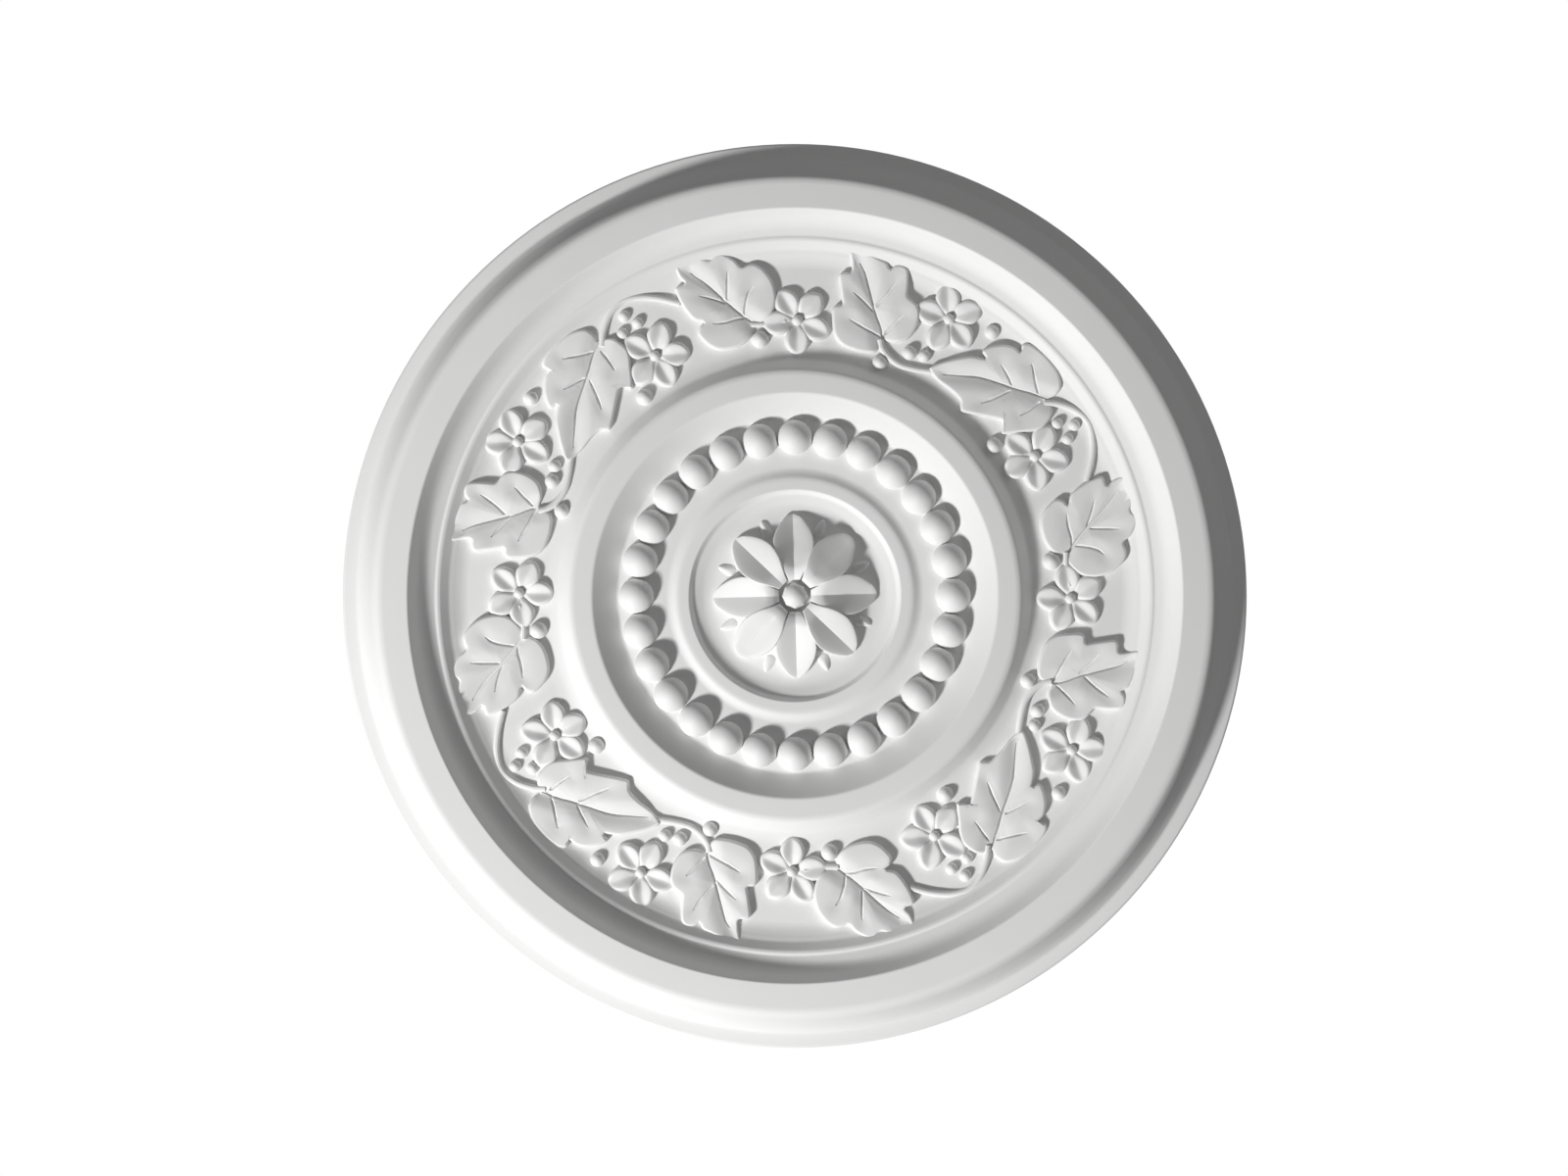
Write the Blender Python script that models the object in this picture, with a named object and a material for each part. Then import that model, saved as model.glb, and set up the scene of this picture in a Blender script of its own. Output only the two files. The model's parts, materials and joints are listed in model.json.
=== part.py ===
"""A round moulded ceiling rose: turned rings, a frieze of leaves and blossoms, a ring of beads and a flower.

The casting is drawn with its face up, on a back at height nought, and turned over at the end, so that the
flat back lies at z = 0 against the ceiling and the ornament looks down. Angles run clockwise from twelve
o'clock as the face is seen. All sizes are in metres.
"""

import math
from dataclasses import dataclass

import bmesh
import bpy
from mathutils import Matrix, Vector

for old in list(bpy.data.objects):
    bpy.data.objects.remove(old)

# Rim and outer mouldings: widths across the face, going inward from the outer edge
OUTER_RADIUS = 0.300
EDGE_HEIGHT = 0.010
LIP_WIDTH = 0.009
LIP_RISE = 0.0013
OGEE_WIDTH = 0.0177
TOP_BAND_WIDTH = 0.0185
TOP_BAND_HEIGHT = 0.0325
COVE_WIDTH = 0.0168
COVE_FOOT_HEIGHT = 0.0177
ROLL_WIDTH = 0.012
ROLL_FOOT_RISE = 0.0032

# Flat field that carries the frieze
FIELD_WIDTH = 0.057
FIELD_HEIGHT = 0.0085
FILLET_WIDTH = 0.0063
FILLET_RISE = 0.0022

# Inner mouldings, from the field to the bead channel
SCOTIA_WIDTH = 0.0104
SCOTIA_RISE = 0.0023
INNER_SLOPE_WIDTH = 0.0106
INNER_BAND_WIDTH = 0.0142
INNER_BAND_HEIGHT = 0.0218
BEAD_SLOPE_WIDTH = 0.017
CHANNEL_HEIGHT = 0.009

# Beads: the ring closes on itself, so the count sets their size
BEAD_COUNT = 28
BEAD_FILL = 0.98
BEAD_CENTRE_RISE = 0.0008

# Ring and shallow dome round the flower
CHANNEL_INNER_WIDTH = 0.0092
RING_COVE_WIDTH = 0.0078
RING_WIDTH = 0.0065
RING_HEIGHT = 0.012
DISH_SLOPE_WIDTH = 0.0108
DISH_HEIGHT = 0.0053
DOME_RISE = 0.007

# Frieze relief
SECTORS = 4
LEAF_RISE = 0.0050
LEAF_CROWN = 0.0004
LEAF_VEIN = 0.0014
STEM_RADIUS = 0.0025
BLOSSOM_START = 0.0035
BLOSSOM_PETAL_LENGTH = 0.0185
BLOSSOM_PETAL_WIDTH = 0.0140
BLOSSOM_RISE = 0.0054
BLOSSOM_HOLLOW = 0.0026
BLOSSOM_BALL = 0.0042
BUD_RISE = 1.15

# Flower
PETAL_COUNT = 8
PETAL_TURN = -1.5
PETAL_REACH = 0.92
PETAL_WIDTH = 0.0275
PETAL_HEIGHT = 0.0172
PETAL_HOLLOW = 0.0035
PETAL_LAP = 0.0012
BOSS_RADIUS = 0.0105
BOSS_RISE = 0.0108
UNDER_TIP_LENGTH = 0.014
UNDER_TIP_WIDTH = 0.0075

# Facets
TURNED_STEPS = 48
TURNED_START = 1.7
ROOT_DEPTH = 0.003


@dataclass(frozen=True)
class Leaf:
    """A lobed leaf. Places are (angle in degrees, part of the way across the field); a vein runs to each tip."""

    heart: tuple
    edge: tuple


@dataclass(frozen=True)
class Blossom:
    """Five petals about a small ball: the place of the ball, and where each petal points, in degrees from outward."""

    angle: float
    across: float
    petals: tuple = (-32.0, 42.0, 115.0, 180.0, 261.0)


@dataclass(frozen=True)
class Bud:
    """A round bud: its place and its radius."""

    angle: float
    across: float
    radius: float


# One sector of the frieze. Each edge place is (angle, across, 1 at a vein's tip)
UPRIGHT_LEAF = Leaf(
    heart=(16.0, 0.30),
    edge=(
        (9.0, 1.10, 1),
        (15.0, 1.03, 0),
        (17.0, 1.03, 1),
        (20.0, 0.77, 0),
        (22.5, 0.70, 1),
        (23.7, 0.46, 0),
        (22.0, 0.22, 0),
        (18.6, 0.14, 0),
        (17.0, -0.02, 1),
        (12.0, -0.01, 0),
        (8.5, 0.12, 1),
        (6.5, 0.35, 0),
        (9.0, 0.50, 0),
        (6.5, 0.67, 1),
        (8.6, 0.90, 0),
    ),
)
LONG_LEAF = Leaf(
    heart=(47.5, 0.55),
    edge=(
        (31.0, 0.07, 1),
        (34.0, 0.46, 0),
        (37.5, 0.58, 0),
        (39.0, 0.76, 1),
        (42.0, 0.96, 0),
        (47.0, 1.06, 1),
        (51.4, 1.00, 0),
        (51.6, 0.75, 0),
        (55.3, 0.54, 1),
        (55.1, 0.36, 0),
        (51.5, 0.14, 0),
        (50.0, 0.18, 0),
        (46.5, 0.08, 1),
        (42.0, -0.11, 1),
        (40.5, 0.00, 0),
        (36.0, 0.02, 0),
    ),
)
LEANING_LEAF = Leaf(
    heart=(78.0, 0.35),
    edge=(
        (70.0, 1.12, 1),
        (75.6, 1.06, 0),
        (78.5, 1.06, 1),
        (80.5, 0.92, 0),
        (85.5, 0.76, 1),
        (86.5, 0.52, 0),
        (84.0, 0.31, 0),
        (82.0, 0.20, 0),
        (79.0, 0.03, 1),
        (73.0, 0.01, 0),
        (70.0, 0.14, 1),
        (69.0, 0.35, 0),
        (70.5, 0.45, 0),
        (69.0, 0.70, 1),
        (70.5, 0.90, 0),
    ),
)
LEAVES = (UPRIGHT_LEAF, LONG_LEAF, LEANING_LEAF)

BLOSSOMS = (
    Blossom(29.1, 0.72),
    Blossom(59.8, 0.26, (-32.0, 42.0, 115.0, 180.0, 246.0)),
    Blossom(90.55, 0.24),
)
BUDS = (
    Bud(20.0, -0.08, 0.0052),
    Bud(25.3, 0.16, 0.0049),
    Bud(28.4, 0.20, 0.0043),
    Bud(36.8, 0.87, 0.0049),
    Bud(58.6, 0.85, 0.0040),
    Bud(56.7, 0.68, 0.0040),
    Bud(60.3, 0.70, 0.0040),
    Bud(52.9, -0.06, 0.0056),
    Bud(82.3, 0.05, 0.0058),
)

STEMS = (
    ((18.5, 0.17), (21.0, 0.02), (24.5, -0.04), (28.0, 0.00), (32.0, 0.08)),
    ((51.5, 0.75), (54.6, 0.97), (58.5, 1.04), (62.5, 0.96), (65.5, 0.84), (69.5, 0.70)),
    ((80.5, 0.25), (84.0, 0.27), (87.5, 0.28)),
)

# Radii that follow from the widths
ROLL_OUTER = OUTER_RADIUS - LIP_WIDTH - OGEE_WIDTH - TOP_BAND_WIDTH - COVE_WIDTH
FIELD_OUTER = ROLL_OUTER - ROLL_WIDTH
FIELD_INNER = FIELD_OUTER - FIELD_WIDTH
BAND_OUTER = FIELD_INNER - SCOTIA_WIDTH - INNER_SLOPE_WIDTH
BAND_INNER = BAND_OUTER - INNER_BAND_WIDTH
CHANNEL_OUTER = BAND_INNER - BEAD_SLOPE_WIDTH
BEAD_SHARE = BEAD_FILL * math.sin(math.pi / BEAD_COUNT)
BEAD_RING = CHANNEL_OUTER / (1 + BEAD_SHARE)
BEAD_RADIUS = BEAD_RING * BEAD_SHARE
RING_COVE_OUTER = BEAD_RING - BEAD_RADIUS - CHANNEL_INNER_WIDTH
RING_OUTER = RING_COVE_OUTER - RING_COVE_WIDTH
RING_INNER = RING_OUTER - RING_WIDTH
DISH_RADIUS = RING_INNER - DISH_SLOPE_WIDTH


def curve(start, end, bend, steps):
    """Points after `start` up to `end` along a quarter of an ellipse; bend "level" leaves start level, "steep" upright."""
    points = []
    for step in range(1, steps + 1):
        turn = step / steps * math.pi / 2
        along, rise = math.sin(turn), 1 - math.cos(turn)
        if bend == "steep":
            along, rise = rise, along
        points.append((start[0] + (end[0] - start[0]) * along, start[1] + (end[1] - start[1]) * rise))
    return points


def face_profile():
    """(radius, height) of the turned face, from the centre outward, then down the edge and back along the back."""
    lip_inner = OUTER_RADIUS - LIP_WIDTH
    lip_height = EDGE_HEIGHT + LIP_RISE
    ogee_middle = (lip_inner - 0.58 * OGEE_WIDTH, (lip_height + TOP_BAND_HEIGHT) / 2 + 0.001)
    band_outer = (lip_inner - OGEE_WIDTH, TOP_BAND_HEIGHT)
    band_inner = (band_outer[0] - TOP_BAND_WIDTH, TOP_BAND_HEIGHT)
    cove_foot = (ROLL_OUTER, COVE_FOOT_HEIGHT)
    roll_foot = (ROLL_OUTER - 0.71 * ROLL_WIDTH, FIELD_HEIGHT + ROLL_FOOT_RISE)
    scotia_top = (FIELD_INNER - SCOTIA_WIDTH, FIELD_HEIGHT + SCOTIA_RISE)
    slope_rise = INNER_BAND_HEIGHT - scotia_top[1]
    inward = [(OUTER_RADIUS, 0.0), (OUTER_RADIUS, EDGE_HEIGHT), (lip_inner, lip_height), ogee_middle]
    inward += curve(ogee_middle, band_outer, "steep", 2)
    inward += [band_inner]
    inward += curve(band_inner, cove_foot, "steep", 2)
    inward += [roll_foot, (FIELD_OUTER, FIELD_HEIGHT + FILLET_RISE)]
    inward += [(FIELD_OUTER - FILLET_WIDTH, FIELD_HEIGHT), (FIELD_INNER, FIELD_HEIGHT), scotia_top]
    inward += [(BAND_OUTER + 0.56 * INNER_SLOPE_WIDTH, scotia_top[1] + 0.35 * slope_rise)]
    inward += [(BAND_OUTER, INNER_BAND_HEIGHT), (BAND_INNER, INNER_BAND_HEIGHT)]
    inward += [(CHANNEL_OUTER, CHANNEL_HEIGHT), (RING_COVE_OUTER, CHANNEL_HEIGHT)]
    inward += [(RING_OUTER, RING_HEIGHT), (RING_INNER, RING_HEIGHT)]
    inward += [(RING_INNER - 0.26 * DISH_SLOPE_WIDTH, 0.45 * RING_HEIGHT + 0.55 * DISH_HEIGHT)]
    inward += [(DISH_RADIUS, DISH_HEIGHT), (0.0, DISH_HEIGHT + DOME_RISE)]
    return list(reversed(inward)) + [(0.0, 0.0)]


def place(angle, radius, height):
    """A point of the face from its clock angle, its radius and its height over the back."""
    turn = math.radians(angle)
    return Vector((radius * math.sin(turn), radius * math.cos(turn), height))


def on_field(angle, across, height):
    """A point over the frieze, from its angle and how far across the field it lies."""
    return place(angle, FIELD_INNER + across * FIELD_WIDTH, height)


def add_leaf(bm, leaf, turn):
    """A closed lobed plate: root below the field, upright edge, and a top that is creased along the veins."""
    foot_height = FIELD_HEIGHT - ROOT_DEPTH
    heart_angle, heart_across = leaf.heart
    heart = on_field(heart_angle + turn, heart_across, FIELD_HEIGHT + LEAF_RISE - LEAF_VEIN)
    foot, edge, middle = [], [], []
    for angle, across, vein in leaf.edge:
        rim = on_field(angle + turn, across, FIELD_HEIGHT + LEAF_RISE)
        inside = heart.lerp(rim, 0.58)
        inside.z = FIELD_HEIGHT + LEAF_RISE + LEAF_CROWN - vein * (LEAF_CROWN + LEAF_VEIN)
        foot.append(bm.verts.new((rim.x, rim.y, foot_height)))
        edge.append(bm.verts.new(rim))
        middle.append(bm.verts.new(inside))
    top = bm.verts.new(heart)
    count = len(edge)
    for i in range(count):
        j = (i + 1) % count
        bm.faces.new((foot[i], foot[j], edge[j], edge[i]))
        bm.faces.new((edge[i], edge[j], middle[j], middle[i]))
        bm.faces.new((middle[i], middle[j], top))
    bm.faces.new(list(reversed(foot)))


def add_egg(bm, centre, half_length, half_width, half_height, turn, segments, rings):
    """An egg-shaped bump, pointing `turn` degrees clockwise from twelve, cut flat a little below its middle."""
    sizes = Matrix.Diagonal((half_width, half_length, half_height, 1.0))
    matrix = Matrix.Translation(centre) @ Matrix.Rotation(-math.radians(turn), 4, "Z") @ sizes
    made = bmesh.ops.create_uvsphere(bm, u_segments=segments, v_segments=rings, radius=1.0, matrix=matrix)
    for vert in made["verts"]:
        vert.co.z = max(vert.co.z, centre.z - ROOT_DEPTH)


def add_plate(bm, rim, middle):
    """A closed plate from its rim points and its middle, rooted a little below the field."""
    foot_height = FIELD_HEIGHT - ROOT_DEPTH
    foot = [bm.verts.new((point.x, point.y, foot_height)) for point in rim]
    edge = [bm.verts.new(point) for point in rim]
    top = bm.verts.new(middle)
    for i in range(len(rim)):
        j = (i + 1) % len(rim)
        bm.faces.new((foot[i], foot[j], edge[j], edge[i]))
        bm.faces.new((edge[i], edge[j], top))
    bm.faces.new(list(reversed(foot)))


def add_blossom(bm, blossom, turn):
    """Five pointed petals with raised sides and hollow middles, and the ball they meet at."""
    shape = ((0.0, 0.0, 0.35), (0.38, 0.92, 0.9), (0.77, 0.88, 1.0), (1.0, 0.0, 0.75))
    shape += tuple((along, -across, rise) for along, across, rise in shape[2:0:-1])
    centre = on_field(blossom.angle + turn, blossom.across, FIELD_HEIGHT)
    for petal in blossom.petals:
        way = math.radians(blossom.angle + turn + petal)
        out = Vector((math.sin(way), math.cos(way), 0.0))
        side = Vector((out.y, -out.x, 0.0))
        rim = []
        for along, across, rise in shape:
            reach = (BLOSSOM_START + along * BLOSSOM_PETAL_LENGTH) * out
            rim.append(centre + reach + across * BLOSSOM_PETAL_WIDTH / 2 * side)
            rim[-1].z += rise * BLOSSOM_RISE
        middle = centre + (BLOSSOM_START + 0.55 * BLOSSOM_PETAL_LENGTH) * out
        middle.z += BLOSSOM_RISE - BLOSSOM_HOLLOW
        add_plate(bm, rim, middle)
    ball = centre + Vector((0.0, 0.0, 0.2 * BLOSSOM_RISE))
    add_egg(bm, ball, BLOSSOM_BALL, BLOSSOM_BALL, BLOSSOM_BALL, blossom.angle + turn, 5, 4)


def add_bud(bm, bud, turn):
    centre = on_field(bud.angle + turn, bud.across, FIELD_HEIGHT)
    add_egg(bm, centre, bud.radius, bud.radius, bud.radius * BUD_RISE, bud.angle + turn, 6, 4)


def add_tube(bm, points, radius, sides):
    """A closed tube along the points, with its ends capped."""
    rings = []
    for i, point in enumerate(points):
        ahead = (points[min(i + 1, len(points) - 1)] - points[max(i - 1, 0)]).normalized()
        across = ahead.cross(Vector((0, 0, 1))).normalized()
        up = across.cross(ahead)
        ring = []
        for side in range(sides):
            turn = 2 * math.pi * (side + 0.5) / sides
            ring.append(bm.verts.new(point + radius * (math.cos(turn) * across + math.sin(turn) * up)))
        rings.append(ring)
    for a, b in zip(rings, rings[1:]):
        for i in range(sides):
            j = (i + 1) % sides
            bm.faces.new((a[i], a[j], b[j], b[i]))
    bm.faces.new(list(reversed(rings[0])))
    bm.faces.new(rings[-1])


def add_petal(bm, angle, lift):
    """A pointed petal with a hollow midline, rising from the middle and falling to the dome at its tip."""
    reach = PETAL_REACH * DISH_RADIUS
    start = BOSS_RADIUS * 1.18
    low = DISH_HEIGHT - ROOT_DEPTH
    stations = ((0.0, 0.30, 0.82), (0.24, 0.70, 1.0), (0.60, 1.0, 0.60), (0.84, 0.66, 0.30), (1.0, 0.05, 0.10))
    tops, feet = [], []
    for along, width, rise in stations:
        radius = start + along * (reach - start)
        half = width * PETAL_WIDTH / 2
        height = DISH_HEIGHT + rise * PETAL_HEIGHT + lift
        hollow = PETAL_HOLLOW * width
        lean = math.degrees(math.atan2(half, radius))
        side = math.hypot(half, radius)
        tops.append(
            (
                bm.verts.new(place(angle - lean, side, height + hollow / 2)),
                bm.verts.new(place(angle, radius, height - hollow / 2)),
                bm.verts.new(place(angle + lean, side, height + hollow / 2)),
            )
        )
        feet.append(
            (
                bm.verts.new(place(angle - lean, side, low)),
                bm.verts.new(place(angle + lean, side, low)),
            )
        )
    for (left, middle, right), (left2, middle2, right2) in zip(tops, tops[1:]):
        bm.faces.new((left, middle, middle2, left2))
        bm.faces.new((middle, right, right2, middle2))
    for top, foot, top2, foot2 in zip(tops, feet, tops[1:], feet[1:]):
        bm.faces.new((foot[0], top[0], top2[0], foot2[0]))
        bm.faces.new((top[2], foot[1], foot2[1], top2[2]))
        bm.faces.new((foot[1], foot[0], foot2[0], foot2[1]))
    bm.faces.new((feet[0][0], feet[0][1], tops[0][2], tops[0][1], tops[0][0]))
    bm.faces.new((feet[-1][1], feet[-1][0], tops[-1][0], tops[-1][1], tops[-1][2]))


def add_flower(bm):
    for i in range(PETAL_COUNT):
        angle = PETAL_TURN + i * 360 / PETAL_COUNT
        add_petal(bm, angle, PETAL_LAP * (i % 2))
        between = angle + 180 / PETAL_COUNT
        centre = place(between, 0.80 * DISH_RADIUS, DISH_HEIGHT + 0.001)
        add_egg(bm, centre, UNDER_TIP_LENGTH / 2, UNDER_TIP_WIDTH / 2, 0.005, between, 6, 3)
    boss_centre = Vector((0, 0, DISH_HEIGHT + DOME_RISE))
    add_egg(bm, boss_centre, BOSS_RADIUS, BOSS_RADIUS, BOSS_RISE, PETAL_TURN, PETAL_COUNT, 6)


def add_beads(bm):
    for i in range(BEAD_COUNT):
        angle = i * 360 / BEAD_COUNT
        centre = place(angle, BEAD_RING, CHANNEL_HEIGHT + BEAD_CENTRE_RISE)
        add_egg(bm, centre, BEAD_RADIUS, BEAD_RADIUS, BEAD_RADIUS, angle, 8, 4)


def build_ornament():
    """Every leaf, blossom, bud, stem, bead and petal as one hidden mesh that the turned body takes in."""
    bm = bmesh.new()
    for sector in range(SECTORS):
        turn = sector * 360 / SECTORS
        for leaf in LEAVES:
            add_leaf(bm, leaf, turn)
        for blossom in BLOSSOMS:
            add_blossom(bm, blossom, turn)
        for bud in BUDS:
            add_bud(bm, bud, turn)
        for stem in STEMS:
            height = FIELD_HEIGHT + STEM_RADIUS * 0.5
            add_tube(bm, [on_field(a + turn, across, height) for a, across in stem], STEM_RADIUS, 4)
    add_beads(bm)
    add_flower(bm)
    bmesh.ops.recalc_face_normals(bm, faces=bm.faces)
    mesh = bpy.data.meshes.new("ornament")
    bm.to_mesh(mesh)
    bm.free()
    ornament = bpy.data.objects.new("ornament", mesh)
    bpy.context.scene.collection.objects.link(ornament)
    ornament.hide_render = True
    ornament.display_type = "WIRE"
    return ornament


def build_rose(ornament):
    """The turned body with the ornament united into it, face down under the ceiling."""
    outline = face_profile()
    mesh = bpy.data.meshes.new("ceiling_rose")
    start = math.radians(TURNED_START)
    points = [(radius * math.cos(start), radius * math.sin(start), height) for radius, height in outline]
    mesh.from_pydata(points, [(i, i + 1) for i in range(len(points) - 1)], [])
    rose = bpy.data.objects.new("ceiling_rose", mesh)
    bpy.context.scene.collection.objects.link(rose)
    screw = rose.modifiers.new("turned", "SCREW")
    screw.axis = "Z"
    screw.steps = TURNED_STEPS
    screw.render_steps = TURNED_STEPS
    screw.use_merge_vertices = True
    screw.merge_threshold = 0.0001
    screw.use_smooth_shade = False
    union = rose.modifiers.new("ornament", "BOOLEAN")
    union.operation = "UNION"
    union.solver = "EXACT"
    union.use_self = True
    union.object = ornament
    for obj in (rose, ornament):
        obj.rotation_euler = (math.pi, 0.0, 0.0)
    return rose


def white_primer():
    material = bpy.data.materials.new("white_primer")
    material.use_nodes = True
    shader = material.node_tree.nodes["Principled BSDF"]
    shader.inputs["Base Color"].default_value = (0.83, 0.83, 0.82, 1.0)
    shader.inputs["Roughness"].default_value = 0.62
    return material


carving = build_ornament()
ceiling_rose = build_rose(carving)
ceiling_rose.data.materials.append(white_primer())
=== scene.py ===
"""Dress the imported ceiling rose: one finely carved white casting, a long lens below it and studio light.

The casting is drawn with its face up. Angles run clockwise from twelve o'clock as the face is seen,
and heights are measured from the flat back. Sizes in the drawing are in millimetres, and the finished
mesh is in metres, turned over so that its back lies against the ceiling at z = 0.
"""

import json
import logging
import math
from dataclasses import dataclass, field
from enum import Enum

import bpy
import numpy as np
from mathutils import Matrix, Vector

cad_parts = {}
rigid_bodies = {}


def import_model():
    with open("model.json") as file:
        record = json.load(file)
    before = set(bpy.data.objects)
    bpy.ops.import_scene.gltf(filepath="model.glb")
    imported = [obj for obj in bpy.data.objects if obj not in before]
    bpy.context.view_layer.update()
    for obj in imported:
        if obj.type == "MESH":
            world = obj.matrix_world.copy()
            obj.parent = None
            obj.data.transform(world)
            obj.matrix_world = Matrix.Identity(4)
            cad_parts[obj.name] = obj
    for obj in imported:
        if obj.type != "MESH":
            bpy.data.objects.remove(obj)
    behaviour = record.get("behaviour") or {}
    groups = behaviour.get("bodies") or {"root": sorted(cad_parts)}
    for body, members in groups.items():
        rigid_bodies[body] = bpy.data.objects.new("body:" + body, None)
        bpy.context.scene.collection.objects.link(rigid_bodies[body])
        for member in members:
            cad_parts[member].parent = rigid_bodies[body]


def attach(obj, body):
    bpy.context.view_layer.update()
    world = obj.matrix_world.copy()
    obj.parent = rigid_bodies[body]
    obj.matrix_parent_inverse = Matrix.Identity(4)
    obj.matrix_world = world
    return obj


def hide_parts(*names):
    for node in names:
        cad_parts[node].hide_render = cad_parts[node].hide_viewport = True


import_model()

logging.basicConfig(level=logging.INFO, format="%(message)s")
log = logging.getLogger("ceiling_rose")

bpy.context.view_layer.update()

MM = 0.001
SECTORS = 4

# Heights over the back: the frieze's field, the dish round the flower, and the sunk foot of an ornament.
FIELD_HEIGHT = 8.5
DISH_HEIGHT = 5.4
ROOT_HEIGHT = 4.0

# Points for each span of a smooth path, and columns of the small eggs.
OUTLINE_STEPS = 10
PATH_STEPS = 5
SMALL_EGG_COLUMNS = 16


class Joining(Enum):
    """How the ornament meets the turned body."""

    UNITE = "UNION"
    CUT = "DIFFERENCE"


# ---------------------------------------------------------------- surfaces


@dataclass
class Shell:
    """A closed surface in the drawing's millimetres.

    Args:
        points: places as an (n, 3) array of across, up and out of the face.
        faces: tuples of indices, wound outward.
    """

    points: np.ndarray
    faces: list

    def turned(self, angle: float) -> "Shell":
        """Return the shell turned clockwise about the middle by an angle in degrees."""
        turn = math.radians(angle)
        c, s = math.cos(turn), math.sin(turn)
        spin = np.array(((c, -s, 0.0), (s, c, 0.0), (0.0, 0.0, 1.0)))
        return Shell(self.points @ spin, self.faces)

    def moved(self, across: float, outward: float, up: float = 0.0) -> "Shell":
        """Return the shell moved across, outward and up."""
        return Shell(self.points + np.array((across, outward, up)), self.faces)

    def to_object(self, name: str, collection: bpy.types.Collection) -> bpy.types.Object:
        """Make a Blender object in metres, face down.

        Args:
            name: the object's name.
            collection: where it is linked.

        Returns:
            The new object.
        """
        mesh = bpy.data.meshes.new(name)
        world = self.points * np.array((1.0, -1.0, -1.0)) * MM
        mesh.from_pydata(world.tolist(), [], self.faces)
        mesh.validate()
        obj = bpy.data.objects.new(name, mesh)
        collection.objects.link(obj)
        return obj


def loft(rings: np.ndarray, first_pole: np.ndarray, last_pole: np.ndarray) -> Shell:
    """Join rings of points into one closed surface.

    Args:
        rings: (rows, columns, 3) places; each row is a closed ring.
        first_pole: the point that closes the first ring.
        last_pole: the point that closes the last ring.

    Returns:
        The shell, wound outward: the sum of its corner volumes is positive.
    """
    rows, columns, _ = rings.shape
    points = np.vstack((rings.reshape(-1, 3), first_pole, last_pole))
    index = np.arange(rows * columns).reshape(rows, columns)
    ahead = np.roll(index, -1, axis=1)
    quads = np.stack((index[:-1], ahead[:-1], ahead[1:], index[1:]), axis=-1).reshape(-1, 4)
    pole = np.full(columns, rows * columns)
    start = np.stack((ahead[0], index[0], pole), axis=-1)
    finish = np.stack((index[-1], ahead[-1], pole + 1), axis=-1)
    a, b, c, d = (points[quads[:, i]] - points.mean(axis=0) for i in range(4))
    volume = np.einsum("ij,ij->", np.cross(a, b), c) + np.einsum("ij,ij->", np.cross(a, c), d)
    faces = [tuple(q) for q in quads.tolist()] + [tuple(t) for t in np.vstack((start, finish)).tolist()]
    if volume < 0:
        faces = [face[::-1] for face in faces]
    return Shell(points, faces)


def at(angle: np.ndarray, radius: np.ndarray, height: np.ndarray) -> np.ndarray:
    """Places of the face from clock angles in degrees, radii and heights.

    Args:
        angle: clock angles.
        radius: distances from the middle.
        height: heights over the back.

    Returns:
        An array of places with a last axis of three.
    """
    turn = np.radians(angle)
    return np.stack(np.broadcast_arrays(radius * np.sin(turn), radius * np.cos(turn), height), axis=-1)


def smooth_path(knots: np.ndarray, steps: int, closed: bool = False) -> np.ndarray:
    """A Catmull-Rom path: each cubic leaves its knot along the line between that knot's neighbours.

    Args:
        knots: (n, k) places.
        steps: points for each span.
        closed: whether the path returns to its start.

    Returns:
        The points along the path; an open path includes its last knot.
    """
    knots = np.asarray(knots, float)
    if closed:
        before, after, beyond = (np.roll(knots, s, axis=0) for s in (1, -1, -2))
        here = knots
    else:
        padded = np.vstack((2 * knots[0] - knots[1], knots, 2 * knots[-1] - knots[-2]))
        before, here, after, beyond = padded[:-3], padded[1:-2], padded[2:-1], padded[3:]
    t = (np.arange(steps) / steps)[None, :, None]
    p0, p1, p2, p3 = (p[:, None, :] for p in (before, here, after, beyond))
    bend = (2 * p0 - 5 * p1 + 4 * p2 - p3) * t**2 + (3 * p1 - p0 - 3 * p2 + p3) * t**3
    path = (0.5 * (2 * p1 + (p2 - p0) * t + bend)).reshape(-1, knots.shape[1])
    return path if closed else np.vstack((path, knots[-1]))


def even_path(path: np.ndarray, count: int) -> np.ndarray:
    """Points evenly spaced along a closed path.

    Args:
        path: (n, k) places round the path.
        count: how many points to return.

    Returns:
        The evenly spaced points.
    """
    loop = np.vstack((path, path[:1]))
    lengths = np.concatenate(((0.0,), np.cumsum(np.linalg.norm(np.diff(loop, axis=0), axis=1))))
    wanted = np.linspace(0.0, lengths[-1], count, endpoint=False)
    return np.stack([np.interp(wanted, lengths, loop[:, k]) for k in range(loop.shape[1])], axis=-1)


def distance_to_lines(points: np.ndarray, lines: list) -> np.ndarray:
    """Least distance from each point to a set of polylines.

    Args:
        points: (n, 2) places.
        lines: polylines as (m, 2) arrays.

    Returns:
        The n distances.
    """
    least = np.full(len(points), np.inf)
    for line in lines:
        for a, b in zip(line[:-1], line[1:]):
            along = b - a
            share = np.clip(((points - a) @ along) / (along @ along), 0.0, 1.0)
            least = np.minimum(least, np.linalg.norm(points - a - share[:, None] * along, axis=1))
    return least


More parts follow.
